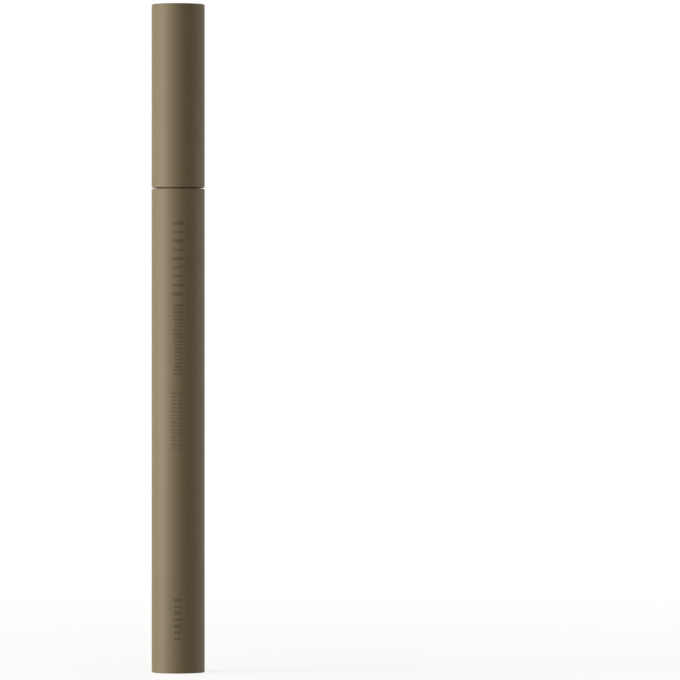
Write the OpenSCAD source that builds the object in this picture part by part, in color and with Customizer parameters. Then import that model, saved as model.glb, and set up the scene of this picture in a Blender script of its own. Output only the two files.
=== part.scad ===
// Liquid eyeliner pen: a slim barrel with a free-ink tank, a comb collector, a felt feed rod,
// a fine brush in a tapered nozzle, and a pull-off cap with a sprung inner cap.
// The pen stands on its tail with the cap on. Z runs along its axis, and Z 0 is the flat tail.

/* [Pen] */
// Outer diameter of the barrel and of the cap
body_d = 10.6; // [10:0.1:12]
// Length from the flat tail to the mouth of the barrel
barrel_len = 96.6; // [88:0.1:110]
// Wall of the barrel and of the cap
shell_wall = 1.1; // [0.8:0.05:1.2]
// Gap that shows between the mouth of the barrel and the closed cap
seam_gap = 0.15; // [0.1:0.05:0.5]

/* [Nozzle] */
// Length of the nozzle outside the barrel
nozzle_len = 17.85; // [17:0.05:22]
// Length of the nozzle's sleeve inside the barrel
sleeve_len = 20; // [16:0.5:24]
// Wall of the nozzle's sleeve
sleeve_wall = 0.98; // [0.7:0.02:1.1]
// Wall of the nozzle round the brush holder, at the tip
tip_wall = 0.86; // [0.6:0.01:1]

/* [Brush] */
// Diameter of the brush holder where it leaves the nozzle
holder_d = 3.92; // [3.6:0.02:4.2]
// Length of the brush holder that shows
holder_out = 3.75; // [2.5:0.05:4.5]
// Diameter of the tuft at the mouth of its holder
tuft_d = 2.34; // [2:0.02:2.5]
// Length of the tuft that shows
tuft_out = 8.9; // [7:0.1:10]
// Rings of filaments round the middle of the tuft, which hold six times their square in all
tuft_rings = 8; // [8:1:9]

/* [Ink feed] */
// Length of the ink tank
tank_len = 39.5; // [32:0.5:48]
// Wall of the ink tank
tank_wall = 0.65; // [0.5:0.05:0.8]
// Diameter of the steel mixing ball
ball_d = 4; // [3:0.5:5]
// Diameter of the felt feed rod
feed_d = 1.5; // [1.2:0.05:1.6]
// Spacing of the collector's fins
fin_pitch = 0.8; // [0.7:0.05:1.2]
// Thickness of each collector fin
fin_t = 0.35; // [0.25:0.05:0.45]

/* [Cap] */
// Thickness of the closed top of the cap
cap_top_t = 1.2; // [0.8:0.1:2]
// Free space over the inner cap, inside the top of the cap
crush_room = 3; // [2:0.1:5]
// Wall of the inner cap
inner_cap_wall = 0.7; // [0.5:0.05:0.9]
// Diameter of the spring's wire
wire_d = 0.4; // [0.3:0.05:0.5]
// Curls of the spring
curls = 6; // [4:1:8]

/* [Hidden] */

$fn = 96;

// Cuts run this far past the faces that they open
overrun = 0.5;
// Steps in a rounded edge and in a smooth ramp
edge_steps = 6;

// Clearance of a pressed or glued piece, on the radius
snug = 0.02;
// Clearance of a piece that slides, on the radius
slide_clear = 0.1;

// Body
body_r = body_d / 2;
bore_r = body_r - shell_wall;
mouth_z = barrel_len;
barrel_edge = 0.3;
hairline = 0.06;

// Snap ribs that hold the nozzle and the tail plug in the barrel
snap_rise = 0.15;
snap_flat = 0.4;
snap_back = 7;
spigot_r = bore_r - snug;

// Tail plug
tail_edge = 0.2;
flange_top = 1.1;
dimple_r = 0.8;
dimple_depth = 0.2;
skirt_len = 6.4;
skirt_wall = 0.9;
tail_snap_up = 3.2;
stem_r = 1.2;
web_t = 0.8;
web_gap = 0.2;
pad_t = 1;
pad_inset = 0.6;

// Nozzle, by height above the mouth of the barrel
relief_h = 0.4;
relief_drop = 0.3;
collar_drop = 0.04;
collar_h = 0.35;
groove_h = 2.1;
waist_drop = 0.27;
bead_drop = 0.1;
bead_flat = 0.6;
bead_ramp = 2.4;
neck_drop = 0.33;
neck_h = 3.05;
neck_taper_h = 1.6;
neck_taper = 0.07;
shoulder_h = 0.6;
shoulder_drop = 0.14;
shoulder_edge_h = 0.2;
shoulder_edge_drop = 0.04;
tip_round = 1.15;
collar_z = mouth_z + relief_h;
groove_z = collar_z + collar_h;
bead_z = groove_z + groove_h;
ramp_z = bead_z + bead_flat;
neck_z = ramp_z + bead_ramp;
shoulder_z = neck_z + neck_h;
cone_z = shoulder_z + shoulder_h;
tip_z = mouth_z + nozzle_len;
collar_r = bore_r - collar_drop;
waist_r = bore_r - waist_drop;
bead_r = bore_r - bead_drop;
neck_r = bore_r - neck_drop;
shoulder_r = neck_r - neck_taper;
cone_r = shoulder_r - shoulder_drop;
sleeve_bore_r = spigot_r - sleeve_wall;
sleeve_z = mouth_z - sleeve_len;

// Brush holder
holder_r = holder_d / 2;
holder_bore_r = holder_r + 2 * snug;
tip_r = holder_bore_r + tip_wall;
cone_top_z = tip_z - tip_round;
seat_below_cone = 0.4;
flange_h = 2;
flange_rise = 0.5;
holder_seat_z = cone_z - seat_below_cone;
holder_z = holder_seat_z - flange_h;
holder_top_z = tip_z + holder_out;
holder_lip_r = 0.52;
holder_taper = 0.16;
taper_start_share = 0.2;
waist_share = 0.55;
waist_taper_share = 0.35;
tuft_r = tuft_d / 2;
tuft_clear = 0.05;
tuft_bore_r = tuft_r + tuft_clear;

// Brush: a melted heel, a bonded shank inside the holder, and free filaments
tuft_grip = 7.1;
free_below_lip = 0.4;
heel_h = 1.6;
heel_rise = 0.38;
heel_top_z = holder_top_z - tuft_grip;
heel_z = heel_top_z - heel_h;
heel_r = tuft_r + heel_rise;
clamp_bore_r = heel_r + tuft_clear;
clamp_h = 1.9;
clamp_z = heel_z - clamp_h;
shank_top_z = holder_top_z - free_below_lip;
tuft_tip_z = holder_top_z + tuft_out;
part_h = 0.3;
filament_share = 0.86;
bend_share = 0.66;
bend_width_share = 0.47;
point_width_share = 0.03;
shortest_share = 0.86;
stagger_share = 0.05;
golden_share = 0.618;

// Ink feed
feed_r = feed_d / 2;
feed_clear = 0.05;
feed_bore_r = feed_r + feed_clear;
feed_end_chamfer = 0.15;
feed_inset = 0.4;
comb_clear = 0.05;
comb_r = sleeve_bore_r - comb_clear;
comb_core_wall = 0.5;
comb_core_r = feed_bore_r + comb_core_wall;
comb_top_t = 0.8;
nose_clear = 0.1;
nose_r = clamp_bore_r - nose_clear;
seal_flange_t = 1;
plug_len = 5;
plug_chamfer = 0.3;
slit_w = 0.3;
vent_w = 0.8;
vent_depth = 0.6;
seal_flange_z = sleeve_z - seal_flange_t;
plug_z = seal_flange_z - plug_len;
comb_end_z = sleeve_z;
comb_top_z = holder_z - comb_top_t;
fins = floor((comb_top_z - comb_end_z) / fin_pitch);

// Tank and ball
tank_gap = 0.25;
tank_r = bore_r - tank_gap;
tank_in_r = tank_r - tank_wall;
tank_floor_t = 1;
tank_edge = 0.4;
tank_z = seal_flange_z - tank_len;
dish_r_share = 0.75;
dish_depth = 0.4;
dish_r = tank_in_r * dish_r_share;
dish_z = tank_z + tank_floor_t;
ball_r = ball_d / 2;
ball_z = dish_z + ball_r / cos(atan(dish_depth / dish_r)) + snug;
plug_clear = 0.03;
plug_r = tank_in_r - plug_clear;
ring_r = 0.24;
ring_squash = 0.01;
ring_centre_r = tank_in_r - ring_r - snug;
ring_groove_r = ring_centre_r - ring_r - ring_squash;
ring_groove_half = ring_r + snug;
ring_z = seal_flange_z - plug_len / 2;

// Cap and inner cap
cap_z = mouth_z + seam_gap;
cap_edge = 0.2;
cap_mouth_edge = 0.3;
cap_rib_rise = 0.05;
cap_rib_up = 4.6;
cap_rib_h = 1;
keeper_rise = 0.3;
keeper_h = 0.7;
inner_travel = 1.5;
inner_flange_t = 1;
seal_depth = 3;
seat_clear = 0.08;
tip_clear = 0.2;
chamber_clear = 0.34;
lip_clear = 0.8;
brush_room = 0.33;
tip_room = 1.3;
inner_top_t = 0.8;
stem_wall = 0.9;
inner_round = 0.3;
inner_z = tip_z - seal_depth;
inner_flange_r = bore_r - slide_clear;
chamber_r = holder_r + chamber_clear;
chamber_top_z = holder_top_z + lip_clear;
brush_room_r = tuft_r + brush_room;
stem_out_r = brush_room_r + stem_wall;
shelf_z = chamber_top_z + inner_cap_wall;
inner_bore_top_z = tuft_tip_z + tip_room;
inner_top_z = inner_bore_top_z + inner_top_t;
ceiling_z = inner_top_z + crush_room;
cap_top_z = ceiling_z + cap_top_t;
keeper_top_z = inner_z - inner_travel - slide_clear;

// Spring
wire_r = wire_d / 2;
wire_sides = 6;
rings_per_curl = 8;
seat_gap = 0.05;
spring_r = (stem_out_r + bore_r) / 2;
spring_z = shelf_z + wire_r + seat_gap;
spring_top_z = ceiling_z - wire_r - seat_gap;
spring_rings = curls * rings_per_curl;

// Radius of the nozzle's cone at a height
function cone_at(z) = cone_r + (tip_r - cone_r) * (z - cone_z) / (cone_top_z - cone_z);

// Points of an arc in a turned outline, as [radius, height]
function arc_points(r, z, radius, from, to) =
    [for (i = [0 : edge_steps]) let (a = from + (to - from) * i / edge_steps)
        [r + radius * cos(a), z + radius * sin(a)]];

// Points of a rounded end in a turned outline, with its own width and height
function dome_points(r, z, width, height) =
    [for (p = arc_points(0, 0, 1, 0, 90)) [r + width * p[0], z + height * p[1]]];

// Points of a smooth ramp from one radius and height to another
function ramp_points(r_a, z_a, r_b, z_b) =
    [for (i = [0 : edge_steps]) let (share = i / edge_steps)
        [r_a + (r_b - r_a) * (1 - cos(180 * share)) / 2, z_a + (z_b - z_a) * share]];

// Outline of a snap rib that climbs the outside of a piece, centred on a height
function rib_outline(r, z) = [
    [r, z - snap_flat - snap_rise],
    [bore_r + snap_rise, z - snap_flat],
    [bore_r + snap_rise, z + snap_flat],
    [r, z + snap_flat + snap_rise]
];

// Outline of the groove in the barrel that takes a snap rib, from its top down
function groove_outline(z) = [
    [bore_r, z + snap_flat + snap_rise + 2 * snug],
    [bore_r + snap_rise + snug, z + snap_flat + snug],
    [bore_r + snap_rise + snug, z - snap_flat - snug],
    [bore_r, z - snap_flat - snap_rise - 2 * snug]
];

module turned(outline) {
    rotate_extrude() polygon(outline);
}

// Barrel: one moulded tube, open at both ends, with a snap groove near each end
module barrel() {
    color([0.40, 0.35, 0.27]) turned(concat(
        [[bore_r, flange_top], [body_r - hairline, flange_top], [body_r, flange_top + hairline]],
        arc_points(body_r - barrel_edge, mouth_z - barrel_edge, barrel_edge, 0, 90),
        [[bore_r, mouth_z]],
        groove_outline(mouth_z - snap_back),
        groove_outline(flange_top + tail_snap_up)
    ));
}

// Tail plug: the flat tail, a skirt that snaps into the barrel, and a webbed stem that holds the
// tank up against the collector
module tail_plug() {
    web_r = bore_r - skirt_wall - web_gap;
    pad_r = tank_r - pad_inset;
    color([0.40, 0.35, 0.27]) union() {
        turned(concat(
            [[0, dimple_depth], [dimple_r, dimple_depth], [dimple_r + dimple_depth, 0]],
            arc_points(body_r - tail_edge, tail_edge, tail_edge, -90, 0),
            [[body_r, flange_top - hairline], [body_r - hairline, flange_top], [spigot_r, flange_top]],
            rib_outline(spigot_r, flange_top + tail_snap_up),
            [
                [spigot_r, flange_top + skirt_len - hairline],
                [spigot_r - hairline, flange_top + skirt_len],
                [spigot_r - skirt_wall, flange_top + skirt_len],
                [spigot_r - skirt_wall, flange_top],
                [stem_r, flange_top],
                [stem_r, tank_z - pad_t],
                [pad_r, tank_z - pad_t],
                [pad_r, tank_z],
                [0, tank_z]
            ]
        ));
        for (turn = [0, 90])
            rotate(turn)
                translate([-web_r, -web_t / 2, flange_top - hairline])
                    cube([2 * web_r, web_t, tank_z - pad_t / 2 - flange_top]);
    }
}

// Front section: the nozzle that shows under the cap and the sleeve that snaps into the barrel
module front_section() {
    color([0.41, 0.36, 0.28]) turned(concat(
        [[sleeve_bore_r, sleeve_z], [spigot_r - hairline, sleeve_z], [spigot_r, sleeve_z + hairline]],
        rib_outline(spigot_r, mouth_z - snap_back),
        [
            [spigot_r, mouth_z - hairline],
            [bore_r - relief_drop, mouth_z],
            [bore_r - relief_drop, collar_z],
            [collar_r - hairline, collar_z],
            [collar_r, collar_z + hairline]
        ],
        ramp_points(collar_r, groove_z, waist_r, groove_z + groove_h / 2),
        ramp_points(waist_r, groove_z + groove_h / 2 + hairline, bead_r, bead_z),
        ramp_points(bead_r, ramp_z, neck_r, neck_z),
        [
            [neck_r, shoulder_z - neck_taper_h],
            [shoulder_r, shoulder_z],
            [shoulder_r - shoulder_edge_drop, shoulder_z + shoulder_edge_h],
            [cone_r, cone_z]
        ],
        dome_points(holder_bore_r, cone_top_z, tip_wall, tip_round),
        [
            [holder_bore_r, holder_seat_z],
            [holder_bore_r + flange_rise, holder_seat_z],
            [holder_bore_r + flange_rise, holder_z],
            [sleeve_bore_r, holder_z]
        ]
    ));
}

// Ink tank: a closed-bottom tube, its floor dished so that the ball comes to rest in the middle
module ink_tank() {
    color([0.86, 0.86, 0.84, 0.6]) turned([
        [0, tank_z],
        [tank_r - tank_edge, tank_z],
        [tank_r, tank_z + tank_edge],
        [tank_r, seal_flange_z],
        [tank_in_r, seal_flange_z],
        [tank_in_r, dish_z + dish_depth],
        [dish_r, dish_z + dish_depth],
        [0, dish_z]
    ]);
}

// Tank seal: a rubber ring in the groove of the collector's plug
module tank_seal() {
    color([0.12, 0.12, 0.12]) rotate_extrude()
        translate([ring_centre_r, ring_z]) circle(r = ring_r);
}

// Mixing ball: loose in the tank, it stirs the ink when the pen is shaken
module mixing_ball() {
    color([0.75, 0.76, 0.78]) translate([0, 0, ball_z]) sphere(r = ball_r);
}

// Collector: thin fins round a hollow core, which hold back surplus ink; one slit feeds every
// chamber and a wider notch opposite lets air back
module collector() {
    color([0.90, 0.90, 0.87]) difference() {
        turned(concat(
            [
                [feed_bore_r, plug_z],
                [plug_r - plug_chamfer, plug_z],
                [plug_r, plug_z + plug_chamfer],
                [plug_r, ring_z - ring_groove_half],
                [ring_groove_r, ring_z - ring_groove_half],
                [ring_groove_r, ring_z + ring_groove_half],
                [plug_r, ring_z + ring_groove_half],
                [plug_r, seal_flange_z],
                [bore_r - slide_clear, seal_flange_z],
                [bore_r - slide_clear, sleeve_z]
            ],
            [for (i = [0 : fins - 1]) let (fin_z = comb_end_z + (i + 1) * fin_pitch) each [
                [comb_core_r, fin_z - fin_pitch],
                [comb_core_r, fin_z - fin_t],
                [comb_r, fin_z - fin_t],
                [comb_r, fin_z]
            ]],
            [
                [comb_core_r, comb_end_z + fins * fin_pitch],
                [comb_core_r, comb_top_z],
                [comb_r, comb_top_z],
                [comb_r, holder_z],
                [nose_r, holder_z],
                [nose_r, clamp_z],
                [feed_bore_r, clamp_z]
            ]
        ));
        translate([0, -slit_w / 2, comb_end_z])
            cube([comb_r + overrun, slit_w, comb_top_z - comb_end_z]);
        translate([-comb_r - overrun, -vent_w / 2, comb_end_z])
            cube([vent_depth + overrun, vent_w, comb_top_z - comb_end_z]);
    }
}

// Feed rod: a bonded fibre rod that carries ink from the tank to the heel of the brush
module feed_rod() {
    feed_z = plug_z + feed_inset;
    color([0.30, 0.30, 0.31]) turned([
        [0, feed_z],
        [feed_r - feed_end_chamfer, feed_z],
        [feed_r, feed_z + feed_end_chamfer],
        [feed_r, heel_z - feed_end_chamfer],
        [feed_r - feed_end_chamfer, heel_z],
        [0, heel_z]
    ]);
}

// Brush holder: a flanged tube pressed into the nozzle from behind, with a softly drawn-in end
module brush_holder() {
    shown = holder_top_z - tip_z - holder_lip_r;
    end_r = holder_r - holder_taper;
    color([0.16, 0.15, 0.15]) turned(concat(
        [
            [clamp_bore_r, holder_z],
            [holder_r + flange_rise, holder_z],
            [holder_r + flange_rise, holder_seat_z],
            [holder_r, holder_seat_z],
            [holder_r, tip_z + shown * taper_start_share],
            [holder_r - holder_taper * waist_taper_share, tip_z + shown * waist_share]
        ],
        arc_points(end_r - holder_lip_r, holder_top_z - holder_lip_r, holder_lip_r, 0, 90),
        [
            [tuft_bore_r, holder_top_z],
            [tuft_bore_r, heel_top_z],
            [clamp_bore_r, heel_top_z]
        ]
    ));
}

// Brush clamp: a small ring pressed in behind the heel, bored for the feed rod
module brush_clamp() {
    color([0.88, 0.88, 0.86]) turned([
        [feed_bore_r, clamp_z],
        [clamp_bore_r - snug, clamp_z],
        [clamp_bore_r - snug, heel_z],
        [feed_bore_r, heel_z]
    ]);
}

// Number of lattice points inside a ring, and one lattice point's number and place. Ring j has six
// times j points on a circle, so the tuft is round and its cells are even triangles.
function points_inside(j) = j == 0 ? 0 : 1 + 3 * j * (j - 1);
function lattice_index(j, i) = j == 0 ? 0 : points_inside(j) + i % (6 * j);
function lattice_point(j, i) = j == 0 ? [0, 0]
    : tuft_r * j / tuft_rings * [cos(60 * i / j), sin(60 * i / j)];

// Cells of the tuft, each as three [ring, place] pairs turning anticlockwise
tuft_cells = [for (j = [1 : tuft_rings], side = [0 : 5], t = [0 : j - 1], inward = [0 : 1])
    if (inward == 0 || t < j - 1)
        inward == 0
            ? [[j, side * j + t], [j, side * j + t + 1], [j - 1, side * (j - 1) + t]]
            : [[j, side * j + t + 1], [j - 1, side * (j - 1) + t + 1], [j - 1, side * (j - 1) + t]]];

// How far up the free length a filament ends: the middle ones reach the point, the outer ones stop
// short, and neighbours differ a little
function end_share(cell, number) = let (spread = golden_share * number)
    1 - (1 - shortest_share) * (cell[0][0] - 1) / tuft_rings
      - stagger_share * (spread - floor(spread));

// Four levels of a filament: its cell, where it parts from its neighbours, where the tuft bends in,
// and its end. All filaments draw in to the axis by the same shares, so none cross.
function filament_points(cell, number) =
    let (
        corners = [for (c = cell) lattice_point(c[0], c[1])],
        middle = (corners[0] + corners[1] + corners[2]) / 3,
        slim = [for (c = corners) middle + (c - middle) * filament_share],
        free = tuft_tip_z - shank_top_z,
        reach = end_share(cell, number),
        narrow = bend_width_share
            + (point_width_share - bend_width_share) * (reach - bend_share) / (1 - bend_share)
    )
    concat(
        [for (p = slim) [p.x, p.y, shank_top_z + part_h]],
        [for (p = slim) [p.x * bend_width_share, p.y * bend_width_share, shank_top_z + free * bend_share]],
        [[middle.x * narrow, middle.y * narrow, shank_top_z + free * reach]]
    );

// Brush: the filaments, bonded into a shank and a wider melted heel, as one closed surface
module brush() {
    rim = 6 * tuft_rings;
    lattice = points_inside(tuft_rings) + rim;
    own = 7;
    cell_count = len(tuft_cells);
    base = lattice + own * cell_count;
    rim_start = points_inside(tuft_rings);
    rim_circle = function(r, z) [for (i = [0 : rim - 1]) [r * cos(360 * i / rim), r * sin(360 * i / rim), z]];
    points = concat(
        [for (j = [0 : tuft_rings], i = [0 : max(6 * j - 1, 0)])
            let (p = lattice_point(j, i)) [p.x, p.y, shank_top_z]],
        [for (n = [0 : cell_count - 1]) each filament_points(tuft_cells[n], n)],
        rim_circle(tuft_r, heel_top_z),
        rim_circle(heel_r, heel_top_z),
        rim_circle(heel_r, heel_z),
        [[0, 0, heel_z]]
    );
    filament_faces = [for (n = [0 : cell_count - 1])
        let (
            feet = [for (c = tuft_cells[n]) lattice_index(c[0], c[1])],
            first = lattice + own * n
        )
        for (k = [0 : 2]) let (next = (k + 1) % 3)
            each [
                [feet[k], first + k, first + next],
                [feet[k], first + next, feet[next]],
                [first + k, first + 3 + k, first + 3 + next],
                [first + k, first + 3 + next, first + next],
                [first + 3 + k, first + 6, first + 3 + next]
            ]];
    shank_faces = [for (i = [0 : rim - 1], level = [0 : 2])
        let (
            next = (i + 1) % rim,
            above = level == 0 ? rim_start : base + (level - 1) * rim,
            below = base + level * rim
        )
        each [[below + i, above + i, above + next], [below + i, above + next, below + next]]];
    end_faces = [for (i = [0 : rim - 1])
        [base + 3 * rim, base + 2 * rim + i, base + 2 * rim + (i + 1) % rim]];
    echo(filaments = cell_count);
    color([0.42, 0.40, 0.38])
        polyhedron(points = points, faces = concat(filament_faces, shank_faces, end_faces));
}

// Cap shell: closed top, snap rib near the mouth, and a keeper ring that holds the inner cap in
module cap_shell() {
    rib_z = cap_z + cap_rib_up;
    color([0.40, 0.35, 0.27]) turned(concat(
        [[bore_r, cap_z]],
        arc_points(body_r - cap_mouth_edge, cap_z + cap_mouth_edge, cap_mouth_edge, -90, 0),
        arc_points(body_r - cap_edge, cap_top_z - cap_edge, cap_edge, 0, 90),
        [
            [0, cap_top_z],
            [0, ceiling_z],
            [bore_r, ceiling_z],
            [bore_r, keeper_top_z],
            [bore_r - keeper_rise, keeper_top_z],
            [bore_r - keeper_rise, keeper_top_z - keeper_h + keeper_rise],
            [bore_r, keeper_top_z - keeper_h],
            [bore_r, rib_z + cap_rib_h],
            [bore_r - cap_rib_rise, rib_z + cap_rib_h - cap_rib_rise],
            [bore_r - cap_rib_rise, rib_z + cap_rib_rise],
            [bore_r, rib_z]
        ]
    ));
}

// Inner cap: closes on the nozzle's cone, with a chamber for the holder and a narrow well for the
// brush; its outer shelf carries the spring
module inner_cap() {
    seal_r = cone_at(inner_z) + seat_clear;
    seal_top_r = cone_at(cone_top_z) + seat_clear;
    skirt_r = seal_r + inner_cap_wall;
    color([0.93, 0.93, 0.91]) turned(concat(
        [
            [seal_r, inner_z],
            [inner_flange_r, inner_z],
            [inner_flange_r, inner_z + inner_flange_t],
            [min(skirt_r, inner_flange_r), inner_z + inner_flange_t]
        ],
        arc_points(min(skirt_r, inner_flange_r) - inner_round, shelf_z - inner_round, inner_round, 0, 90),
        [[stem_out_r, shelf_z]],
        arc_points(stem_out_r - inner_round, inner_top_z - inner_round, inner_round, 0, 90),
        [
            [0, inner_top_z],
            [0, inner_bore_top_z],
            [brush_room_r, inner_bore_top_z],
            [brush_room_r, chamber_top_z],
            [chamber_r, chamber_top_z],
            [chamber_r, tip_z + tip_clear],
            [seal_top_r, tip_z + tip_clear],
            [seal_top_r, cone_top_z]
        ]
    ));
}

// Centre line of the spring, and the ring of its tube at one place on it
function coil_point(i) = let (a = 360 * i / rings_per_curl)
    [spring_r * cos(a), spring_r * sin(a), spring_z + (spring_top_z - spring_z) * i / spring_rings];
function coil_ring(i) = let (centre = coil_point(i), a = 360 * i / rings_per_curl)
    [for (k = [0 : wire_sides - 1]) let (b = 360 * k / wire_sides)
        centre + wire_r * [cos(b) * cos(a), cos(b) * sin(a), sin(b)]];

// Spring: one unbroken wire that presses the inner cap onto the nozzle
module cap_spring() {
    last = spring_rings * wire_sides;
    points = [for (i = [0 : spring_rings]) each coil_ring(i)];
    sides = [for (i = [0 : spring_rings - 1], k = [0 : wire_sides - 1])
        let (
            a = i * wire_sides + k,
            b = i * wire_sides + (k + 1) % wire_sides
        )
        each [[a, b, b + wire_sides], [a, b + wire_sides, a + wire_sides]]];
    ends = [for (k = [1 : wire_sides - 2]) each [[0, k + 1, k], [last, last + k, last + k + 1]]];
    least_gap = min([for (i = [0 : spring_rings], j = [i + rings_per_curl / 2 : spring_rings])
        norm(coil_point(i) - coil_point(j)) - wire_d]);
    echo(spring_least_gap_mm = least_gap);
    color([0.72, 0.73, 0.75]) polyhedron(points = points, faces = concat(sides, ends));
}

barrel();
tail_plug();
front_section();
ink_tank();
tank_seal();
mixing_ball();
collector();
feed_rod();
brush_holder();
brush_clamp();
brush();
cap_shell();
inner_cap();
cap_spring();
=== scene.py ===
import math

import bmesh
import bpy
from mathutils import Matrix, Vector


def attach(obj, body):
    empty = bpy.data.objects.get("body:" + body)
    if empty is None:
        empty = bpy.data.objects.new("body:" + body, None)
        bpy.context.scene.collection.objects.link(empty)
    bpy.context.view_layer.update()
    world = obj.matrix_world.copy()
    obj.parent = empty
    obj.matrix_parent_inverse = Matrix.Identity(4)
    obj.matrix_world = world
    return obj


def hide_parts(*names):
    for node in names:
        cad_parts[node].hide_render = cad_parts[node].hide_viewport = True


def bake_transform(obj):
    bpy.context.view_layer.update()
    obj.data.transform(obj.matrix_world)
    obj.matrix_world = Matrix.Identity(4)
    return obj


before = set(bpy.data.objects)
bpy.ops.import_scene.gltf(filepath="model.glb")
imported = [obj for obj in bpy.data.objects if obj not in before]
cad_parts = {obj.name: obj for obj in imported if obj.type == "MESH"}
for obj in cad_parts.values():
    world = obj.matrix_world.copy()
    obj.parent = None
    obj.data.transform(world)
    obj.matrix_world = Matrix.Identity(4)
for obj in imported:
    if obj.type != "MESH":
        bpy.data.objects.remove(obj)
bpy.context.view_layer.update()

# ---------------------------------------------------------------------------------------------------------
# Studio. A long lens stands level with the middle of the pen, which stands left of the view's centre. A
# wide softbox on its left does most of the lighting, a strip on its right lights the edge, and a black flag
# by the camera darkens the satin skins between them. The floor is a white sweep that keeps a soft shadow.
MM = 0.001


class Value:
    """A number that changes over a surface or along a curve. Arithmetic on it adds Math nodes."""

    def __init__(self, graph, node, output):
        self.graph, self.node, self.socket = graph, node, node.outputs[output]

    def output(self, name):
        return Value(self.graph, self.node, name)

    def __add__(self, other):
        return self.graph.maths("ADD", self, other)

    def __sub__(self, other):
        return self.graph.maths("SUBTRACT", self, other)

    def __rsub__(self, other):
        return self.graph.maths("SUBTRACT", other, self)

    def __mul__(self, other):
        return self.graph.maths("MULTIPLY", self, other)

    def __truediv__(self, other):
        return self.graph.maths("DIVIDE", self, other)

    def __rtruediv__(self, other):
        return self.graph.maths("DIVIDE", other, self)

    def __pow__(self, other):
        return self.graph.maths("POWER", self, other)

    __radd__ = __add__
    __rmul__ = __mul__


class Graph:
    """The nodes of one material, of the world or of one Geometry Nodes tree."""

    def __init__(self, tree):
        self.tree = tree
        tree.nodes.clear()

    def node(self, kind, settings=(), inputs=(), output=0):
        """A new node as a value. Its inputs are a list in their order, or a dict by name or number."""
        made = self.tree.nodes.new(kind)
        for key, setting in dict(settings).items():
            setattr(made, key, setting)
        for key, given in inputs.items() if isinstance(inputs, dict) else enumerate(inputs):
            if isinstance(given, Value):
                self.tree.links.new(given.socket, made.inputs[key])
            elif given is not None:
                made.inputs[key].default_value = given
        return Value(self, made, output) if made.outputs else made

    def maths(self, operation, *operands):
        return self.node("ShaderNodeMath", {"operation": operation}, operands)

    def limited(self, value):
        return self.node("ShaderNodeClamp", (), [value])

    def colours(self, share, first, second):
        first, second = [c if isinstance(c, Value) else (*c, 1) for c in (first, second)]
        return self.node("ShaderNodeMix", {"data_type": "RGBA"}, {0: share, 6: first, 7: second}, 2)

    def noise(self, place, scale, detail=2.0, roughness=0.5):
        return self.node("ShaderNodeTexNoise", (), {
            "Vector": place, "Scale": scale, "Detail": detail, "Roughness": roughness})

    def meets_white(self):
        """One for a ray that shows the white background, seen directly, in a gloss or through clear stuff."""
        rays = self.node("ShaderNodeLightPath", output="Is Camera Ray")
        return self.limited(rays + rays.output("Is Glossy Ray") + rays.output("Is Transmission Ray"))


def new_material(name):
    made = bpy.data.materials.new(name)
    made.use_nodes = True
    return made, Graph(made.node_tree)


camera_data = bpy.data.cameras.new("camera")
camera_data.lens = 318
camera_data.sensor_width = 36
camera_data.clip_start = 0.05
camera = bpy.data.objects.new("camera", camera_data)
camera.location = (0.03233, -1.2, 0.06637)
camera.rotation_euler = (math.radians(90), 0, 0)
bpy.context.collection.objects.link(camera)
bpy.context.scene.camera = camera


def softbox(name, place, aim, width, height, watts):
    lamp_data = bpy.data.lights.new(name, "AREA")
    lamp_data.shape, lamp_data.size, lamp_data.size_y = "RECTANGLE", width, height
    lamp_data.energy = watts
    lamp = bpy.data.objects.new(name, lamp_data)
    lamp.location = place
    lamp.rotation_euler = (Vector(aim) - Vector(place)).to_track_quat("-Z", "Y").to_euler()
    lamp.visible_camera = False
    bpy.context.collection.objects.link(lamp)
    return lamp


softbox("softbox_left", (-0.468, -0.180, 0.066), (0, 0, 0.040), 0.34, 0.12, 3.05)
strip = softbox("strip_right", (0.45, 0.12, 0.080), (0, 0, 0.070), 0.06, 0.18, 0.32)
warm_white, white = (1.0, 0.96, 0.90), (1.0, 1.0, 1.0)
strip.data.color = warm_white

world = bpy.data.worlds.new("studio")
world.use_nodes = True
bpy.context.scene.world = world
studio = Graph(world.node_tree)
shown = studio.meets_white()
fill_level = 0.27
background = studio.node("ShaderNodeBackground", (), {
    "Color": studio.colours(shown, warm_white, white),
    "Strength": fill_level + (1 - fill_level) * shown})
studio.node("ShaderNodeOutputWorld", (), [background])

floor_finish, paint = new_material("white_sweep")
shown = paint.meets_white()
spot = paint.node("ShaderNodeTexCoord", output="Object")
away = paint.node("ShaderNodeVectorMath", {"operation": "LENGTH"}, [spot], "Value")
glow_at_foot, glow_gain, gain_reach = 0.80, 0.12, 0.5
paper = paint.node("ShaderNodeBsdfDiffuse", (), {
    "Color": paint.colours(shown, (0.75, 0.75, 0.75), (0.35, 0.35, 0.35))})
glow = paint.node("ShaderNodeEmission", (), {
    "Color": (*white, 1),
    "Strength": shown * (glow_at_foot + glow_gain * paint.limited(away / gain_reach))})
lit = paint.node("ShaderNodeAddShader", (), [paper, glow])
paint.node("ShaderNodeOutputMaterial", (), [lit])


def stage_card(name, corners, finish):
    mesh = bpy.data.meshes.new(name)
    mesh.from_pydata(corners, [], [(0, 1, 2, 3)])
    mesh.materials.append(finish)
    made = bpy.data.objects.new(name, mesh)
    bpy.context.collection.objects.link(made)
    return made


stage_card("floor", [(-3, -3, 0), (3, -3, 0), (3, 3, 0), (-3, 3, 0)], floor_finish)

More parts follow.
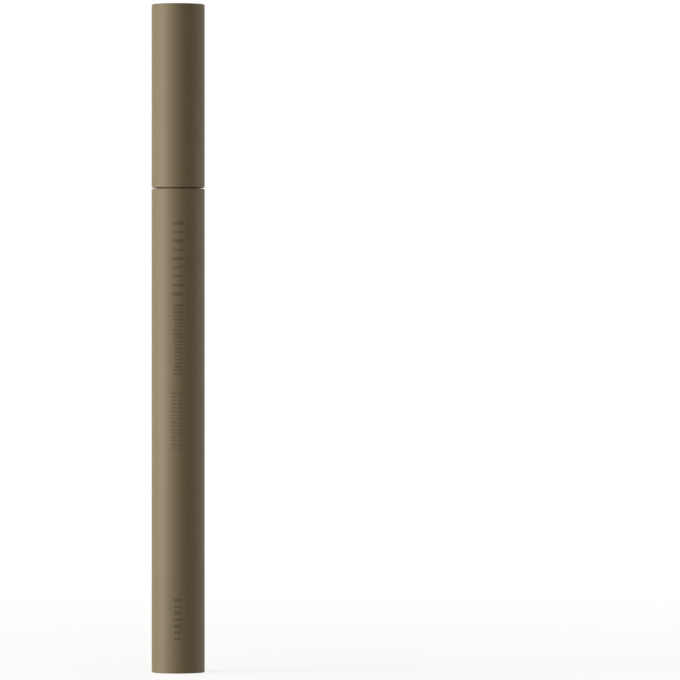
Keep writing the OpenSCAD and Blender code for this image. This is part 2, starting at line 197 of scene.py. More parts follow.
flag_finish, cloth = new_material("black_cloth")
cloth.node("ShaderNodeOutputMaterial", (), [
    cloth.node("ShaderNodeBsdfDiffuse", (), {"Color": (0.005, 0.005, 0.005, 1)})])
flag_side, flag_far, flag_top = 0.1, -0.3, 0.45
flag = stage_card("black_flag", [
    (-flag_side, flag_far, 0), (flag_side, flag_far, 0),
    (flag_side, flag_far, flag_top), (-flag_side, flag_far, flag_top)], flag_finish)
flag.rotation_euler.z = math.radians(13)
flag.visible_camera = flag.visible_diffuse = flag.visible_shadow = False

bpy.context.scene.view_settings.view_transform = "Standard"

# ---------------------------------------------------------------------------------------------------------
# Barrel. A tube injection-moulded in ABS and sprayed with an olive soft-touch coating. It is open at both
# ends, where a groove in the bore takes the snap ribs of the nozzle's sleeve and of the tail plug.
SIDES = 192
SHARP_EDGE = math.radians(32)


def outline_points(corners, steps=6):
    """Points of an outline. A corner is (radius, height) or (radius, height, rounding), in mm."""
    made = []
    for i, corner in enumerate(corners):
        here = Vector(corner[:2])
        if len(corner) == 2:
            made.append(here)
            continue
        back = Vector(corners[i - 1][:2]) - here
        on = Vector(corners[(i + 1) % len(corners)][:2]) - here
        half = back.angle(on) / 2
        reach = corner[2] / math.tan(half)
        centre = here + (back.normalized() + on.normalized()).normalized() * corner[2] / math.sin(half)
        first = here + back.normalized() * reach - centre
        turn = (here + on.normalized() * reach - centre).angle_signed(first)
        hold = 1.5 * reach
        if hold < back.length / 2:
            made.append(here + back.normalized() * hold)
        for step in range(steps + 1):
            a = turn * step / steps
            made.append(centre + Vector((
                first.x * math.cos(a) - first.y * math.sin(a),
                first.x * math.sin(a) + first.y * math.cos(a))))
        if hold < on.length / 2:
            made.append(here + on.normalized() * hold)
    return made


def piece_from(shape, name):
    bmesh.ops.recalc_face_normals(shape, faces=shape.faces)
    mesh = bpy.data.meshes.new(name)
    shape.to_mesh(mesh)
    shape.free()
    mesh.shade_smooth()
    mesh.set_sharp_from_angle(angle=SHARP_EDGE)
    made = bpy.data.objects.new(name, mesh)
    bpy.context.collection.objects.link(made)
    return made


def turn_shape(corners):
    """An outline swept round the pen's axis."""
    shape = bmesh.new()
    rings = []
    for radius, height in outline_points(corners):
        around = SIDES if radius > 0 else 1
        turns = [2 * math.pi * k / around for k in range(around)]
        rings.append([shape.verts.new(
            (radius * MM * math.cos(a), radius * MM * math.sin(a), height * MM)) for a in turns])
    for low, high in zip(rings, rings[1:] + rings[:1]):
        for k in range(SIDES if len(low) + len(high) > 2 else 0):
            ends = [low[k % len(low)], low[(k + 1) % len(low)],
                    high[(k + 1) % len(high)], high[k % len(high)]]
            shape.faces.new(list(dict.fromkeys(ends)))
    return shape


def turned(name, corners):
    return piece_from(turn_shape(corners), name)


def shade(colour, share):
    return [part * share for part in colour]


def coating(name, colour, rubbed_lit_rims, grain=0.5, satin=0.56, gloss=0.30, bloom=0.03, painted_groove_shade=()):
    """Satin skin: a fine even grain, a faint mottle, rims painted paler and grooves painted darker.

    The rims are pairs of a height in mm and how much paler it is: partly real rubbing, partly a painted
    highlight. The groove shade is pairs of a height in mm and how dark the painted shade lies there."""
    rim_width, groove_shade_width = 0.35 * MM, 0.45 * MM
    made, g = new_material(name)
    place = g.node("ShaderNodeTexCoord", output="Object")
    height = g.node("ShaderNodeSeparateXYZ", (), [place], "Z")
    mottle = g.noise(place, 90, 3)
    speckle = g.noise(place, 5200, 2)
    peel = g.noise(place, 1500, 1)
    wear_and_highlight = 0
    # Painted highlight on the rims: they are made paler partly for real rubbing and partly to stand in for
    # light caught by their rounded edges.
    for rim, paleness in rubbed_lit_rims:
        near = g.maths("ABSOLUTE", height - rim * MM)
        wear_and_highlight = g.maths("MAXIMUM", g.limited(1 - near / rim_width) * paleness, wear_and_highlight)
    wear_and_highlight = wear_and_highlight * g.limited(g.noise(place, 420, 3) * 3 - 1.1)
    tint = g.colours(g.limited(mottle * 1.6 - 0.3), shade(colour, 0.965), shade(colour, 1.035))
    tint = g.colours(g.limited(speckle * 2 - 0.5) * 0.10, tint, shade(colour, 1.35))
    tint = g.colours(wear_and_highlight, tint, shade(colour, 1.5))
    groove_shade = 0
    # Painted shade: each listed groove is darkened and dulled to stand in for the shade that falls in it. It
    # is not dirt.
    for groove, darkness in painted_groove_shade:
        near = g.maths("ABSOLUTE", height - groove * MM)
        groove_shade = g.maths("MAXIMUM", g.limited(1.3 - near / groove_shade_width) * darkness, groove_shade)
    if painted_groove_shade:
        tint = g.colours(groove_shade, tint, shade(colour, 0.2))
    rough = satin + 0.10 * (speckle - 0.5) - 0.10 * wear_and_highlight + 0.6 * groove_shade
    relief = g.node("ShaderNodeBump", (), {
        "Strength": grain, "Distance": 0.012 * MM, "Height": speckle * 0.6 + peel * 0.4})
    shader = g.node("ShaderNodeBsdfPrincipled", (), {
        "Base Color": tint, "Roughness": rough, "Normal": relief,
        "Specular IOR Level": gloss, "Sheen Weight": bloom, "Sheen Roughness": 0.5})
    g.node("ShaderNodeOutputMaterial", (), [shader])
    return made


def finish_piece(piece, finish, body, slot, *nodes):
    piece.data.materials.clear()
    piece.data.materials.append(finish)
    if body:
        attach(piece, body)
    if nodes:
        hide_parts(*nodes)
    return piece


bore, skin, barrel_foot, mouth = 4.2, 5.3, 1.1, 96.6
olive = (0.1715, 0.1305, 0.0698)
# Its rims are painted paler: partly real rubbing, partly a painted highlight on the rounded edges.
olive_coating = coating("olive_soft_touch", olive, (
    (0.1, 0.45), (1.1, 0.9), (96.5, 0.9), (96.85, 0.6), (133.3, 0.3)))


def snap_groove(height):
    deep, floor_half, lip_half = bore + 0.17, 0.42, 0.59
    return [(bore, height + lip_half), (deep, height + floor_half),
            (deep, height - floor_half), (bore, height - lip_half)]


barrel = turned("barrel_tube", [
    (bore, barrel_foot, 0.05), (skin, barrel_foot, 0.07), (skin, mouth, 0.3), (bore, mouth, 0.1),
    *snap_groove(89.6), *snap_groove(4.3)])
finish_piece(barrel, olive_coating, "pen", "barrel_coating", "barrel")

# ---------------------------------------------------------------------------------------------------------
# Print on the barrel. Plain rungs in a slightly darker, smoother ink of the coating's own hue, hot-stamped
# down the front of the barrel as a thin film. They are plain marks and spell nothing.
def new_tree(name, inputs):
    """A Geometry Nodes tree with named inputs, its group, and its inputs as values."""
    tree = bpy.data.node_groups.new(name, "GeometryNodeTree")
    g = Graph(tree)
    identifiers = {}
    for label, given in inputs.items():
        kind = "NodeSocketInt" if isinstance(given, int) else "NodeSocketFloat"
        socket = tree.interface.new_socket(label, in_out="INPUT", socket_type=kind)
        socket.default_value = given
        identifiers[label] = socket.identifier
    tree.interface.new_socket("Geometry", in_out="OUTPUT", socket_type="NodeSocketGeometry")
    start = tree.nodes.new("NodeGroupInput")
    return tree, g, {label: Value(g, start, label) for label in inputs}, identifiers


def grown(name, tree, identifiers, settings=()):
    """A plain mesh of what the tree makes, with these settings in place of its own."""
    seed_mesh = bpy.data.meshes.new(name)
    maker = bpy.data.objects.new(name + "_maker", seed_mesh)
    bpy.context.collection.objects.link(maker)
    modifier = maker.modifiers.new("grow", "NODES")
    modifier.node_group = tree
    for label, setting in dict(settings).items():
        modifier[identifiers[label]] = setting
    bpy.context.view_layer.update()
    evaluated = maker.evaluated_get(bpy.context.evaluated_depsgraph_get())
    mesh = bpy.data.meshes.new_from_object(evaluated)
    mesh.name = name
    bpy.data.objects.remove(maker)
    made = bpy.data.objects.new(name, mesh)
    bpy.context.collection.objects.link(made)
    return made


def chance(low, high, number, seed):
    """A random value for each number, the same in every run."""
    return number.graph.node("FunctionNodeRandomValue", {"data_type": "FLOAT"}, {
        2: low, 3: high, "ID": number, "Seed": seed}, 1)


print_finish, g = new_material("tone_on_tone_print")
place = g.node("ShaderNodeTexCoord", output="Object")
patchy = g.noise(place, 2600, 3)
g.node("ShaderNodeOutputMaterial", (), [g.node("ShaderNodeBsdfPrincipled", (), {
    "Base Color": g.colours(patchy, shade(olive, 0.59), shade(olive, 0.73)),
    "Roughness": 0.44 + 0.12 * patchy, "Specular IOR Level": 0.35})])

rungs_tree, g, given, rung_inputs = new_tree("stamped_rungs", {
    "Rungs": 9, "Pitch": 1.8 * MM, "Width": 2.3 * MM, "Thickness": 0.5 * MM, "Top": 90.0 * MM,
    "Across": 0.0, "Barrel Radius": skin * MM, "Film": 0.012 * MM, "Seed": 3})
column = g.node("GeometryNodeMeshLine", {"mode": "OFFSET"}, {
    "Count": given["Rungs"],
    "Start Location": g.node("ShaderNodeCombineXYZ", (), [given["Across"], 0.0, given["Top"]]),
    "Offset": g.node("ShaderNodeCombineXYZ", (), [0.0, 0.0, given["Pitch"] * -1])})
blank = g.node("GeometryNodeMeshGrid", (), {
    "Size X": given["Width"], "Size Y": given["Thickness"], "Vertices X": 17, "Vertices Y": 3})
spot = g.node("GeometryNodeInputPosition")
along, up = [g.node("ShaderNodeSeparateXYZ", (), [spot], axis) for axis in "XY"]
end_radius = given["Thickness"] / 2
beyond = g.maths("ABSOLUTE", along) - (given["Width"] / 2 - end_radius)
past = g.maths("MAXIMUM", beyond, 0.0) / end_radius
drawn_in = g.maths("SQRT", g.maths("MAXIMUM", 1 - past ** 2.0, 0.02))
blank = g.node("GeometryNodeSetPosition", (), {
    "Geometry": blank, "Position": g.node("ShaderNodeCombineXYZ", (), [along, 0.0, up * drawn_in])})
number = g.node("GeometryNodeInputIndex")
laid = g.node("GeometryNodeInstanceOnPoints", (), {
    "Points": column, "Instance": blank, "Scale": g.node("ShaderNodeCombineXYZ", (), [
        chance(0.74, 1.0, number, given["Seed"]), 1.0, chance(0.55, 1.25, number, given["Seed"] + 1)])})
flat = g.node("GeometryNodeRealizeInstances", (), [laid])
spot = g.node("GeometryNodeInputPosition")
x, z = [g.node("ShaderNodeSeparateXYZ", (), [spot], axis) for axis in "XZ"]
angle = x / given["Barrel Radius"]
buried = given["Barrel Radius"] - given["Film"]
wrapped = g.node("GeometryNodeSetPosition", (), {
    "Geometry": flat, "Position": g.node("ShaderNodeCombineXYZ", (), [
        buried * g.maths("SINE", angle), buried * -1 * g.maths("COSINE", angle), z])})
outward = g.node("ShaderNodeCombineXYZ", (), [
    g.maths("SINE", angle), g.maths("COSINE", angle) * -1, 0.0])
raised = g.node("GeometryNodeExtrudeMesh", {"mode": "FACES"}, {
    "Mesh": wrapped, "Offset": outward, "Offset Scale": given["Film"] * 2, "Individual": False})
closed = g.node("GeometryNodeJoinGeometry")
for part in (raised, g.node("GeometryNodeFlipFaces", (), [wrapped])):
    g.tree.links.new(part.socket, closed.node.inputs[0])
whole = g.node("GeometryNodeMergeByDistance", (), {"Geometry": closed, "Distance": 0.001 * MM})
inked = g.node("GeometryNodeSetMaterial", (), {
    "Geometry": g.node("GeometryNodeRealizeInstances", (), [whole]), "Material": print_finish})
g.node("NodeGroupOutput", (), [inked])

stamps = {
    "print_upper": {"Rungs": 9, "Pitch": 1.76 * MM, "Width": 2.3 * MM, "Thickness": 0.56 * MM,
                    "Top": 89.6 * MM, "Across": 0.05 * MM},
    "print_middle": {"Rungs": 20, "Pitch": 0.72 * MM, "Width": 1.9 * MM, "Thickness": 0.42 * MM,
                     "Top": 73.3 * MM, "Across": 0.0},
    "print_lower_left": {"Rungs": 16, "Pitch": 0.73 * MM, "Width": 1.1 * MM, "Thickness": 0.34 * MM,
                         "Top": 55.8 * MM, "Across": -0.8 * MM, "Seed": 5},
    "print_lower_right": {"Rungs": 16, "Pitch": 0.73 * MM, "Width": 1.1 * MM, "Thickness": 0.27 * MM,
                          "Top": 55.8 * MM, "Across": 0.55 * MM, "Seed": 11},
    "print_foot": {"Rungs": 7, "Pitch": 1.28 * MM, "Width": 1.7 * MM, "Thickness": 0.78 * MM,
                   "Top": 14.6 * MM, "Across": 0.0},
}
for stamp, sizes in stamps.items():
    finish_piece(grown(stamp, rungs_tree, rung_inputs, sizes), print_finish, "pen", "barrel_coating")

# ---------------------------------------------------------------------------------------------------------
# Tail plug. Moulded in the barrel's plastic and coated with it, it snaps into the tail. The skirt and the
# webbed stem stay inside, where the stem's pad holds the ink tank up against the collector.
in_bore, snap = 4.18, 4.35
stem_foot, stem, pad, pad_low, pad_top = 1.1, 1.2, 3.35, 35.1, 36.1
skirt_inside, skirt_top = 3.28, 7.5
plug_shape = turn_shape([
    (0, 0.2), (0.8, 0.2, 0.06), (1.0, 0, 0.06), (skin, 0, 0.2), (skin, stem_foot, 0.07),
    (in_bore, stem_foot), (in_bore, 3.75), (snap, 3.9), (snap, 4.7), (in_bore, 4.85),
    (in_bore, skirt_top, 0.1), (skirt_inside, skirt_top, 0.1), (skirt_inside, stem_foot),
    (stem, stem_foot, 0.3), (stem, pad_low, 0.2), (pad, pad_low, 0.1), (pad, pad_top, 0.1), (0, pad_top)])


def add_block(shape, low, high):
    """A plain block between two corners, in mm."""
    for vert in bmesh.ops.create_cube(shape, size=1)["verts"]:
        vert.co = Vector([(l + h) / 2 * MM + c * (h - l) * MM for l, h, c in zip(low, high, vert.co)])


web_reach, web_half, web_sunk = 3.1, 0.4, 0.5
for wide, deep in ((web_reach, web_half), (web_half, web_reach)):
    add_block(plug_shape, (-wide, -deep, stem_foot - 0.05), (wide, deep, pad_low + web_sunk))
tail_plug = piece_from(plug_shape, "tail_plug_moulding")
finish_piece(tail_plug, olive_coating, "pen", "barrel_coating", "tail_plug")

# ---------------------------------------------------------------------------------------------------------
# Ink tank. A thin tube blown in natural polypropylene, closed and dished at the bottom, so that the ball
# rests in the middle. It shows its ink as a grey cast, darker towards the floor.
tank_finish, g = new_material("natural_polypropylene")
place = g.node("ShaderNodeTexCoord", output="Object")
height = g.node("ShaderNodeSeparateXYZ", (), [place], "Z")
flow = g.noise(g.node("ShaderNodeMapping", (), {"Vector": place, "Scale": (1, 1, 0.12)}), 900, 3)
ink_top, ink_fade = 66 * MM, 30 * MM
inked = g.limited((ink_top - height) / ink_fade)
g.node("ShaderNodeOutputMaterial", (), [g.node("ShaderNodeBsdfPrincipled", (), {
    "Base Color": g.colours(inked * 0.55 + flow * 0.1, (0.80, 0.80, 0.77), (0.30, 0.30, 0.31)),
    "Roughness": 0.22 + 0.12 * flow, "Transmission Weight": 0.55, "IOR": 1.49})])

tank_skin, tank_bore, tank_mouth, dish_rim, dish_low = 3.95, 3.3, 75.6, 37.5, 37.1
tank = turned("ink_tank_tube", [
    (0, pad_top), (tank_skin, pad_top, 0.4), (tank_skin, tank_mouth, 0.08),
    (tank_bore, tank_mouth, 0.08), (tank_bore, dish_rim), (2.475, dish_rim, 0.15), (0, dish_low)])
finish_piece(tank, tank_finish, "pen", "tank_plastic", "ink_tank")

# ---------------------------------------------------------------------------------------------------------
# Mixing ball. A ground and polished stainless ball, loose in the tank, that stirs the pigment when the
# pen is shaken.
ball_finish, g = new_material("polished_stainless")
place = g.node("ShaderNodeTexCoord", output="Object")
lapped = g.noise(place, 3500, 4, 0.6)
g.node("ShaderNodeOutputMaterial", (), [g.node("ShaderNodeBsdfPrincipled", (), {
    "Base Color": g.colours(lapped, (0.60, 0.61, 0.63), (0.70, 0.71, 0.72)),
    "Metallic": 1.0, "Roughness": 0.07 + 0.10 * lapped})])


def refined(name, node, finish, body, slot):
    """The node's own shape with its seams merged and its curves shaded smooth."""
    shape = bmesh.new()
    shape.from_mesh(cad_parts[node].data)
    bmesh.ops.remove_doubles(shape, verts=shape.verts, dist=0.0005 * MM)
    return finish_piece(piece_from(shape, name), finish, body, slot, node)


refined("mixing_ball_steel", "mixing_ball", ball_finish, "ball", "ball_steel")

# ---------------------------------------------------------------------------------------------------------
# Collector, with its rubber ring. The comb is moulded in white ABS: fins 0.35 mm thick hold surplus ink
# between them by their capillary gap. The ring in the plug's groove seals the tank's mouth.
comb_finish, g = new_material("white_comb_plastic")
place = g.node("ShaderNodeTexCoord", output="Object")
height = g.node("ShaderNodeSeparateXYZ", (), [place], "Z")
stain_top, stain_fade = 86.5 * MM, 12 * MM
stain = g.limited((stain_top - height) / stain_fade) * g.limited(g.noise(place, 260, 4) * 2.4 - 0.5)
cloudy = g.noise(place, 500, 2)
g.node("ShaderNodeOutputMaterial", (), [g.node("ShaderNodeBsdfPrincipled", (), {
    "Base Color": g.colours(stain * 0.75, g.colours(cloudy, (0.74, 0.74, 0.70), (0.80, 0.80, 0.77)),
                            (0.10, 0.10, 0.105)),
    "Roughness": 0.42 + 0.10 * cloudy})])
refined("collector_comb", "collector", comb_finish, "pen", "collector_plastic")

rubber_finish, g = new_material("black_seal_rubber")
bloom = g.noise(g.node("ShaderNodeTexCoord", output="Object"), 1800, 4)
g.node("ShaderNodeOutputMaterial", (), [g.node("ShaderNodeBsdfPrincipled", (), {
    "Base Color": g.colours(bloom, (0.012, 0.012, 0.012), (0.030, 0.030, 0.029)),
    "Roughness": 0.62 + 0.16 * bloom})])
refined("tank_seal_ring", "tank_seal", rubber_finish, "pen", "seal_rubber")

# ---------------------------------------------------------------------------------------------------------
# Feed rod. Bonded polyester fibres in a straight rod, ground flat at both ends, soaked grey with ink.
fibre_finish, g = new_material("bonded_fibre")
place = g.node("ShaderNodeTexCoord", output="Object")
strand = g.noise(g.node("ShaderNodeMapping", (), {"Vector": place, "Scale": (1, 1, 0.03)}), 9000, 2)
soak = g.noise(place, 160, 2)
g.node("ShaderNodeOutputMaterial", (), [g.node("ShaderNodeBsdfPrincipled", (), {
    "Base Color": g.colours(
        g.limited(strand * 0.8 + soak * 0.4 - 0.1), (0.030, 0.030, 0.032), (0.16, 0.16, 0.165)),
    "Roughness": 0.75,
    "Normal": g.node("ShaderNodeBump", (), {"Strength": 0.6, "Distance": 0.02 * MM, "Height": strand})})])
refined("feed_rod_fibre", "feed_rod", fibre_finish, "pen", "feed_fibre")

# ---------------------------------------------------------------------------------------------------------
# Brush clamp and brush holder. The clamp is a small ring in the comb's plastic, pressed in behind the heel.
# The holder is a dark satin tube, flanged at the back and drawn in softly at the mouth.
refined("brush_clamp_ring", "brush_clamp", comb_finish, "pen", "collector_plastic")

holder_finish, g = new_material("dark_satin_plastic")
place = g.node("ShaderNodeTexCoord", output="Object")
fine = g.noise(place, 6000, 2)
smear = g.noise(place, 900, 3)
g.node("ShaderNodeOutputMaterial", (), [g.node("ShaderNodeBsdfPrincipled", (), {
    "Base Color": g.colours(smear, (0.006, 0.004, 0.004), (0.012, 0.0095, 0.0095)),
    "Roughness": 0.34 + 0.08 * fine, "Specular IOR Level": 0.27,
    "Normal": g.node("ShaderNodeBump", (), {"Strength": 0.25, "Distance": 0.008 * MM, "Height": fine})})])
holder_back, holder_seat, heel_stop, holder_mouth = 103.7, 105.7, 111.1, 118.2
heel_bore, brush_bore, flange, holder_skin = 1.60, 1.22, 2.46, 1.96
holder = turned("brush_holder_tube", [
    (heel_bore, holder_back), (flange, holder_back, 0.08), (flange, holder_seat, 0.08),
    (holder_skin, holder_seat), (holder_skin, 115.2), (1.948, 116.0), (1.92, 116.6), (1.885, 117.2),
    (1.83, 117.65), (1.80, holder_mouth, 0.50), (brush_bore, holder_mouth, 0.04),
    (brush_bore, heel_stop), (heel_bore, heel_stop)])
finish_piece(holder, holder_finish, "pen", "holder_plastic", "brush_holder")

# ---------------------------------------------------------------------------------------------------------
# Brush. Some 620 tapered nylon filaments, bonded and melted together into a shank and a wider heel at the
# back. Wet with grey ink, they close to one point, and the outer ones stop a little short of it.
filament_finish, g = new_material("inked_nylon_filaments")
place = g.node("ShaderNodeTexCoord", output="Object")
height = g.node("ShaderNodeSeparateXYZ", (), [place], "Z")
tone = g.node("ShaderNodeAttribute", {"attribute_name": "tone"}, (), "Fac")
wet_top, wet_fade = 126.6 * MM, 8 * MM
wet = g.limited((wet_top - height) / wet_fade)
streak = g.noise(g.node("ShaderNodeMapping", (), {"Vector": place, "Scale": (1, 1, 0.06)}), 4200, 2)
mixed = g.limited(tone * 0.65 + streak * 0.45 - 0.05)
dry = g.colours(mixed, (0.24, 0.236, 0.228), (0.42, 0.412, 0.40))
soaked = g.colours(mixed, (0.094, 0.089, 0.082), (0.200, 0.192, 0.180))
g.node("ShaderNodeOutputMaterial", (), [g.node("ShaderNodeBsdfPrincipled", (), {
    "Base Color": g.colours(wet, dry, soaked), "Roughness": 0.50 + 0.14 * streak,
    "Specular IOR Level": 0.3})])

filament_tree, g, given, filament_inputs = new_tree("filaments", {
    "Filaments": 620, "Tuft Radius": 1.15 * MM, "Root": 117.5 * MM, "Mouth": holder_mouth * MM,
    "Tip": 127.1 * MM, "Filament Radius": 0.052 * MM, "Taper Power": 0.70, "Short": 0.16, "Seed": 7})
roots = g.node("GeometryNodePoints", (), {"Count": given["Filaments"]})
roots = g.node("GeometryNodeStoreNamedAttribute", {"data_type": "FLOAT", "domain": "POINT"}, {
    "Geometry": roots, "Name": "number", "Value": g.node("GeometryNodeInputIndex")})
line = g.node("GeometryNodeResampleCurve", (), {
    "Curve": g.node("GeometryNodeCurvePrimitiveLine", (), {"Start": (0, 0, 0), "End": (0, 0, 1)}),
    "Count": 12})
strands = g.node("GeometryNodeRealizeInstances", (), [
    g.node("GeometryNodeInstanceOnPoints", (), {"Points": roots, "Instance": line})])
number = g.node("GeometryNodeInputNamedAttribute", {"data_type": "FLOAT"}, {"Name": "number"}, "Attribute")
share = g.node("GeometryNodeSplineParameter", output="Factor")

seed = given["Seed"]
golden_angle = 2.399963
out = g.maths("SQRT", (number + 0.5) / given["Filaments"])
around = number * golden_angle + chance(-0.12, 0.12, number, seed)
reach = 1 - given["Short"] * out ** 2.4 - chance(0.0, 0.045, number, seed + 1)
rise = share * reach * (given["Tip"] - given["Root"]) + given["Root"]
left = g.maths("MINIMUM", (given["Tip"] - rise) / (given["Tip"] - given["Mouth"]), 1.0)
slim = g.maths("MAXIMUM", left, 0.0005) ** given["Taper Power"]
sway = g.maths("SINE", share * 9 + chance(0.0, 6.28, number, seed + 2)) * share * (0.006 * MM)
from_axis = given["Tuft Radius"] * out * slim + sway
strands = g.node("GeometryNodeSetPosition", (), {
    "Geometry": strands, "Position": g.node("ShaderNodeCombineXYZ", (), [
        from_axis * g.maths("COSINE", around), from_axis * g.maths("SINE", around), rise])})
ends = (1 - share ** 3.0) * 0.8 + 0.2
strands = g.node("GeometryNodeStoreNamedAttribute", {"data_type": "FLOAT", "domain": "POINT"}, {
    "Geometry": strands, "Name": "tone", "Value": chance(0.0, 1.0, number, seed + 3)})
section = g.node("GeometryNodeCurvePrimitiveCircle", (), {
    "Resolution": 6, "Radius": given["Filament Radius"]})
tubes = g.node("GeometryNodeCurveToMesh", (), {
    "Curve": strands, "Profile Curve": section, "Scale": slim * ends, "Fill Caps": True})
tubes = g.node("GeometryNodeSetShadeSmooth", (), {"Geometry": tubes})
tubes = g.node("GeometryNodeRealizeInstances", (), [tubes])
g.node("NodeGroupOutput", (), [g.node("GeometryNodeSetMaterial", (), {
    "Geometry": tubes, "Material": filament_finish})])

tuft = grown("brush_filaments", filament_tree, filament_inputs)
finish_piece(tuft, filament_finish, "pen", "brush_filament", "brush")
heel_foot, shank_top, heel_radius, shank_radius = 109.5, 117.7, 1.55, 1.17
shank = turned("brush_shank", [
    (0, heel_foot), (heel_radius, heel_foot, 0.12), (heel_radius, heel_stop, 0.12),
    (shank_radius, heel_stop), (shank_radius, shank_top, 0.1), (0, shank_top)])
finish_piece(shank, filament_finish, "pen", "brush_filament", "brush")

# ---------------------------------------------------------------------------------------------------------
# Front section. The nozzle and the sleeve behind it, moulded in one in olive plastic with a satin skin.
# The bead near the barrel clicks under the cap's rib, and the long cone closes softly on the holder.
# The nozzle's rims are painted paler, partly rubbing and partly painted highlight. Its recess and the groove
# under the bead get a painted shade.
nozzle_finish = coating(
    "olive_satin_plastic", (0.103, 0.071, 0.024), ((97.6, 0.9), (100.0, 0.4), (105.5, 0.2)),
    grain=0.3, satin=0.48, gloss=0.55, bloom=0.0, painted_groove_shade=((96.85, 0.50), (99.3, 0.38)))


def eased(start, end, steps=8):
    """Points of a smooth ramp between two corners of an outline."""
    shares = [i / steps for i in range(steps + 1)]
    return [(start[0] + (end[0] - start[0]) * (1 - math.cos(math.pi * s)) / 2,
             start[1] + (end[1] - start[1]) * s) for s in shares]


sleeve_foot, sleeve_bore, holder_fit, flange_fit = 76.6, 3.20, 2.00, 2.50
recess, collar, collar_foot, neck, bead, waist = 3.90, 4.16, 97.0, 3.93, 4.10, 3.87
cone_top, tip_out, tip_up = 113.3, 0.86, 1.15
tip_angles = [math.radians(a) for a in range(6, 91, 6)]
front = turned("front_section_nozzle", [
    (sleeve_bore, sleeve_foot, 0.05), (in_bore, sleeve_foot, 0.08),
    (in_bore, 89.05), (snap, 89.2), (snap, 90.0), (in_bore, 90.15), (in_bore, mouth, 0.05),
    (recess, mouth), (recess, collar_foot), (collar, collar_foot, 0.05),
    *eased((collar, 97.35), (neck, 98.40)), *eased((neck, 98.46), (bead, 99.45)),
    *eased((bead, 100.05), (waist, 102.45)), (waist, 103.9, 0.5),
    (3.80, 105.5, 0.04), (3.76, 105.7, 0.04), (3.66, 106.1), (holder_fit + tip_out, cone_top),
    *[(holder_fit + tip_out * math.cos(a), cone_top + tip_up * math.sin(a)) for a in tip_angles],
    (holder_fit, 114.35), (holder_fit, holder_seat), (flange_fit, holder_seat),
    (flange_fit, holder_back), (sleeve_bore, holder_back)])
finish_piece(front, nozzle_finish, "pen", "nozzle_plastic", "front_section")

# ---------------------------------------------------------------------------------------------------------
# Cap shell. Moulded closed at the top and coated with the barrel. Inside, a low rib clicks past the bead
# of the nozzle, and a keeper ring higher up holds the inner cap in.
cap_mouth, ceiling, cap_top, keeper, click_rib = 96.75, 132.2, 133.4, 3.90, 4.15
cap = turned("cap_shell_tube", [
    (bore, cap_mouth, 0.08), (skin, cap_mouth, 0.3), (skin, cap_top, 0.2), (0, cap_top),
    (0, ceiling), (bore, ceiling, 0.3),
    (bore, 109.85), (keeper, 109.85, 0.06), (keeper, 109.45, 0.06), (bore, 109.15),
    (bore, 102.35), (click_rib, 102.30), (click_rib, 101.40), (bore, 101.35)])
finish_piece(cap, olive_coating, "cap", "barrel_coating", "cap_shell")

# ---------------------------------------------------------------------------------------------------------
# Inner cap. Natural white polyethylene, soft enough to seal on the nozzle's cone. The wide chamber clears
# the holder, the narrow well above it clears the brush, and the shelf between them carries the spring.
inner_finish, g = new_material("white_polyethylene")
place = g.node("ShaderNodeTexCoord", output="Object")
height = g.node("ShaderNodeSeparateXYZ", (), [place], "Z")
waxy = g.noise(place, 700, 3)
tip_height, smudge_reach = 113.6 * MM, 4 * MM
smudge = g.limited(1 - g.maths("ABSOLUTE", height - tip_height) / smudge_reach)
smudge = smudge * g.limited(g.noise(place, 900, 4) * 4 - 2.2)
g.node("ShaderNodeOutputMaterial", (), [g.node("ShaderNodeBsdfPrincipled", (), {
    "Base Color": g.colours(smudge * 0.5, g.colours(waxy, (0.76, 0.76, 0.73), (0.84, 0.84, 0.82)),
                            (0.12, 0.12, 0.12)),
    "Roughness": 0.38 + 0.10 * waxy, "Subsurface Weight": 0.25, "Subsurface Scale": 0.4 * MM})])
rim_low, rim_top, shelf, well_top = 111.45, 112.45, 119.7, 129.2
rim, chamber, well, well_bore, chamber_bore = 4.10, 3.845, 2.40, 1.50, 2.30
inner_cap = turned("inner_cap_moulding", [
    (3.145, rim_low, 0.08), (rim, rim_low, 0.08), (rim, rim_top, 0.08), (chamber, rim_top),
    (chamber, shelf, 0.3), (well, shelf, 0.1), (well, well_top, 0.3), (0, well_top),
    (0, 128.4), (well_bore, 128.4, 0.3), (well_bore, 119.0, 0.1), (chamber_bore, 119.0, 0.1),
    (chamber_bore, 114.65), (2.94, 114.65), (2.94, cone_top)])
finish_piece(inner_cap, inner_finish, "seal_cap", "inner_cap_plastic", "inner_cap")

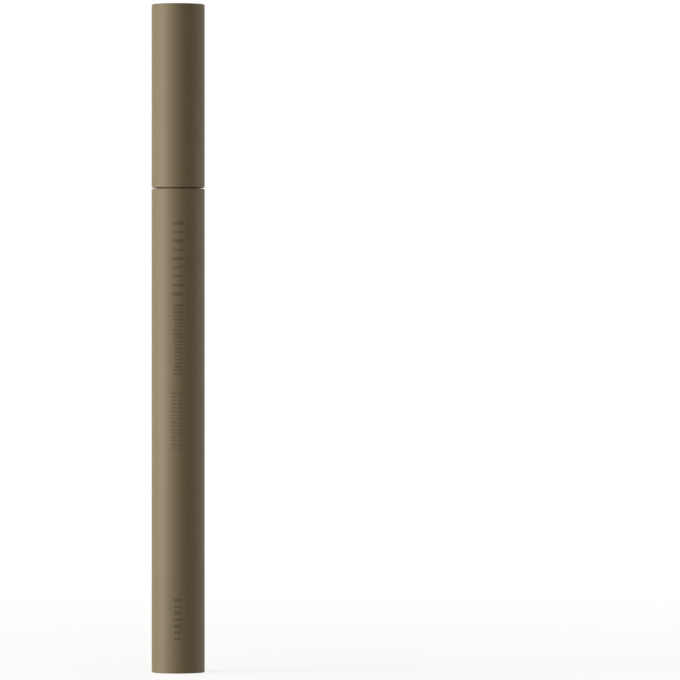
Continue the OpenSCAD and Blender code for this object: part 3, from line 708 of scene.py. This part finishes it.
# ---------------------------------------------------------------------------------------------------------
# Spring. Five and a half open curls of 0.4 mm steel wire between two closed end curls. It presses the inner
# cap down onto the nozzle, and lengthens with it as the cap comes off.
wire_finish, g = new_material("drawn_spring_wire")
place = g.node("ShaderNodeTexCoord", output="Object")
drawn = g.noise(place, 4200, 3)
g.node("ShaderNodeOutputMaterial", (), [g.node("ShaderNodeBsdfPrincipled", (), {
    "Base Color": g.colours(drawn, (0.50, 0.51, 0.53), (0.66, 0.67, 0.68)),
    "Metallic": 1.0, "Roughness": 0.26 + 0.16 * drawn})])

spring_tree, g, given, spring_inputs = new_tree("coiled_wire", {
    "Curls": 7.5, "Coil Radius": 3.3 * MM, "Wire Radius": 0.2 * MM, "Bottom": 119.95 * MM,
    "Top": 131.95 * MM, "Points": 361})
path = g.node("GeometryNodeResampleCurve", (), {
    "Curve": g.node("GeometryNodeCurvePrimitiveLine", (), {"Start": (0, 0, 0), "End": (0, 0, 1)}),
    "Count": given["Points"]})
share = g.node("GeometryNodeSplineParameter", output="Factor")
full_turn, closing = 6.283185, 0.42 * MM
turn = share * given["Curls"] * full_turn
closed_share = 1 / given["Curls"]
low_part = g.maths("MINIMUM", share / closed_share, 1.0)
high_part = g.limited((share - 1 + closed_share) / closed_share)
open_part = g.limited((share - closed_share) / (1 - 2 * closed_share))
rise = (low_part + high_part) * closing + open_part * (given["Top"] - given["Bottom"] - 2 * closing)
path = g.node("GeometryNodeSetPosition", (), {
    "Geometry": path, "Position": g.node("ShaderNodeCombineXYZ", (), [
        given["Coil Radius"] * g.maths("COSINE", turn), given["Coil Radius"] * g.maths("SINE", turn),
        given["Bottom"] + rise])})
wire = g.node("GeometryNodeCurveToMesh", (), {
    "Curve": path, "Fill Caps": True,
    "Profile Curve": g.node("GeometryNodeCurvePrimitiveCircle", (), {
        "Resolution": 12, "Radius": given["Wire Radius"]})})
wire = g.node("GeometryNodeSetShadeSmooth", (), {"Geometry": wire})
g.node("NodeGroupOutput", (), [g.node("GeometryNodeSetMaterial", (), {
    "Geometry": g.node("GeometryNodeRealizeInstances", (), [wire]), "Material": wire_finish})])
spring = grown("cap_spring_wire", spring_tree, spring_inputs)
finish_piece(spring, wire_finish, None, "spring_steel", "cap_spring")
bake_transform(spring)
